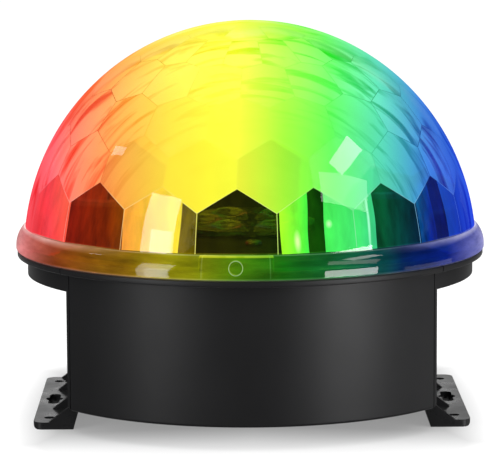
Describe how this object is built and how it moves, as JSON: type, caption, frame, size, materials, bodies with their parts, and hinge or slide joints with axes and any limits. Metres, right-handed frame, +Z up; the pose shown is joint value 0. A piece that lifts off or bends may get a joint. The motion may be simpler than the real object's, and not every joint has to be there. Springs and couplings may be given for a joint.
{
  "type": "disco ball light",
  "caption": "Rotating crystal-ball party light: a clear faceted dome spun by an internal geared motor on a black round base with slotted mounting feet.",
  "frame": {"origin": "on the floor under the dome's axis", "axes": "+Z up along the dome's axis, the front seam panel looks to -Y, the controls are at +Y, the feet are at -X and +X"},
  "size_m": [0.2, 0.2, 0.166],
  "materials": {
    "satin_black_plastic": "satin",
    "matt_black_plastic": "matt",
    "clear_plastic": "polished clear",
    "acetal_white": "smooth",
    "zinc_steel": "zinc plated",
    "bare_aluminium": "extruded",
    "pin_brass": "polished",
    "gloss_black_plastic": "gloss",
    "pale_grey_plastic": "satin",
    "green_board": "solder mask",
    "white_board": "solder mask",
    "emitter_red": "moulded",
    "emitter_green": "moulded",
    "emitter_blue": "moulded",
    "emitter_white": "moulded",
    "emitter_amber": "moulded",
    "emitter_violet": "moulded"
  },
  "bodies": {
    "base": {"housing": "satin_black_plastic", "front_panel": "satin_black_plastic", "bottom_cover": "satin_black_plastic", "right_foot": "satin_black_plastic", "left_foot": "satin_black_plastic", "foot_screw_1": "zinc_steel", "foot_screw_2": "zinc_steel", "foot_screw_3": "zinc_steel", "foot_screw_4": "zinc_steel", "cover_screw_1": "zinc_steel", "cover_screw_2": "zinc_steel", "chassis_screw_1": "zinc_steel", "chassis_screw_2": "zinc_steel", "chassis_screw_3": "zinc_steel", "chassis_screw_4": "zinc_steel", "motor_screw_1": "zinc_steel", "motor_screw_2": "zinc_steel", "deck_screw_1": "zinc_steel", "deck_screw_2": "zinc_steel", "deck_screw_3": "zinc_steel", "plate_screw_1": "zinc_steel", "plate_screw_2": "zinc_steel", "chassis_plate": "satin_black_plastic", "gear_motor": "zinc_steel", "roller_pin_1": "zinc_steel", "roller_pin_2": "zinc_steel", "roller_pin_3": "zinc_steel", "deck_plate": "matt_black_plastic", "heat_sink": "bare_aluminium", "led_board": "white_board", "led_red": "emitter_red", "led_green": "emitter_green", "led_blue": "emitter_blue", "led_white": "emitter_white", "led_amber": "emitter_amber", "led_violet": "emitter_violet", "lens_holder": "matt_black_plastic", "lens_array": "clear_plastic", "control_panel": "satin_black_plastic", "power_inlet": "gloss_black_plastic", "inlet_pin": "pin_brass", "switch_body": "gloss_black_plastic", "push_switch": "gloss_black_plastic", "sound_sensor": "bare_aluminium", "sound_control": "gloss_black_plastic", "control_board": "green_board", "driver_board": "green_board"},
    "dome": {"dome_shell": "clear_plastic", "dome_carrier": "matt_black_plastic"},
    "pinion": {"drive_pinion": "acetal_white", "motor_shaft": "zinc_steel"},
    "roller_1": {"guide_roller_1": "acetal_white"},
    "roller_2": {"guide_roller_2": "acetal_white"},
    "roller_3": {"guide_roller_3": "acetal_white"},
    "rocker": {"power_rocker": "gloss_black_plastic"},
    "button": {"mode_button": "pale_grey_plastic"},
    "knob": {"sensitivity_knob": "satin_black_plastic", "knob_shaft": "zinc_steel"}
  },
  "joints": [
    {"name": "dome_spin", "type": "hinge", "parent": "base", "child": "dome", "pos_m": [0, 0, 0.0699], "axis": [0, 0, 1], "continuous": true},
    {"name": "pinion_spin", "type": "hinge", "parent": "base", "child": "pinion", "pos_m": [0, -0.072, 0.0622], "axis": [0, 0, 1], "continuous": true},
    {"name": "roller_spin_1", "type": "hinge", "parent": "base", "child": "roller_1", "pos_m": [0, 0.075, 0.0715], "axis": [0, 0, 1], "continuous": true},
    {"name": "roller_spin_2", "type": "hinge", "parent": "base", "child": "roller_2", "pos_m": [-0.06495, -0.0375, 0.0715], "axis": [0, 0, 1], "continuous": true},
    {"name": "roller_spin_3", "type": "hinge", "parent": "base", "child": "roller_3", "pos_m": [0.06495, -0.0375, 0.0715], "axis": [0, 0, 1], "continuous": true},
    {"name": "rocker_tilt", "type": "hinge", "parent": "base", "child": "rocker", "pos_m": [-0.006, 0.083, 0.036], "axis": [1, 0, 0], "range_deg": [-16, 0]},
    {"name": "button_press", "type": "slide", "parent": "base", "child": "button", "axis": [0, -1, 0], "range_m": [0, 0.001], "stiffness_N_per_m": 300},
    {"name": "knob_turn", "type": "hinge", "parent": "base", "child": "knob", "pos_m": [0.027, 0.087, 0.036], "axis": [0, 1, 0], "range_deg": [-140, 140]}
  ],
  "couplings": [
    {"joint": "pinion_spin", "follows": "dome_spin", "ratio": 7},
    {"joint": "roller_spin_1", "follows": "dome_spin", "ratio": 12.239},
    {"joint": "roller_spin_2", "follows": "dome_spin", "ratio": 12.239},
    {"joint": "roller_spin_3", "follows": "dome_spin", "ratio": 12.239}
  ]
}
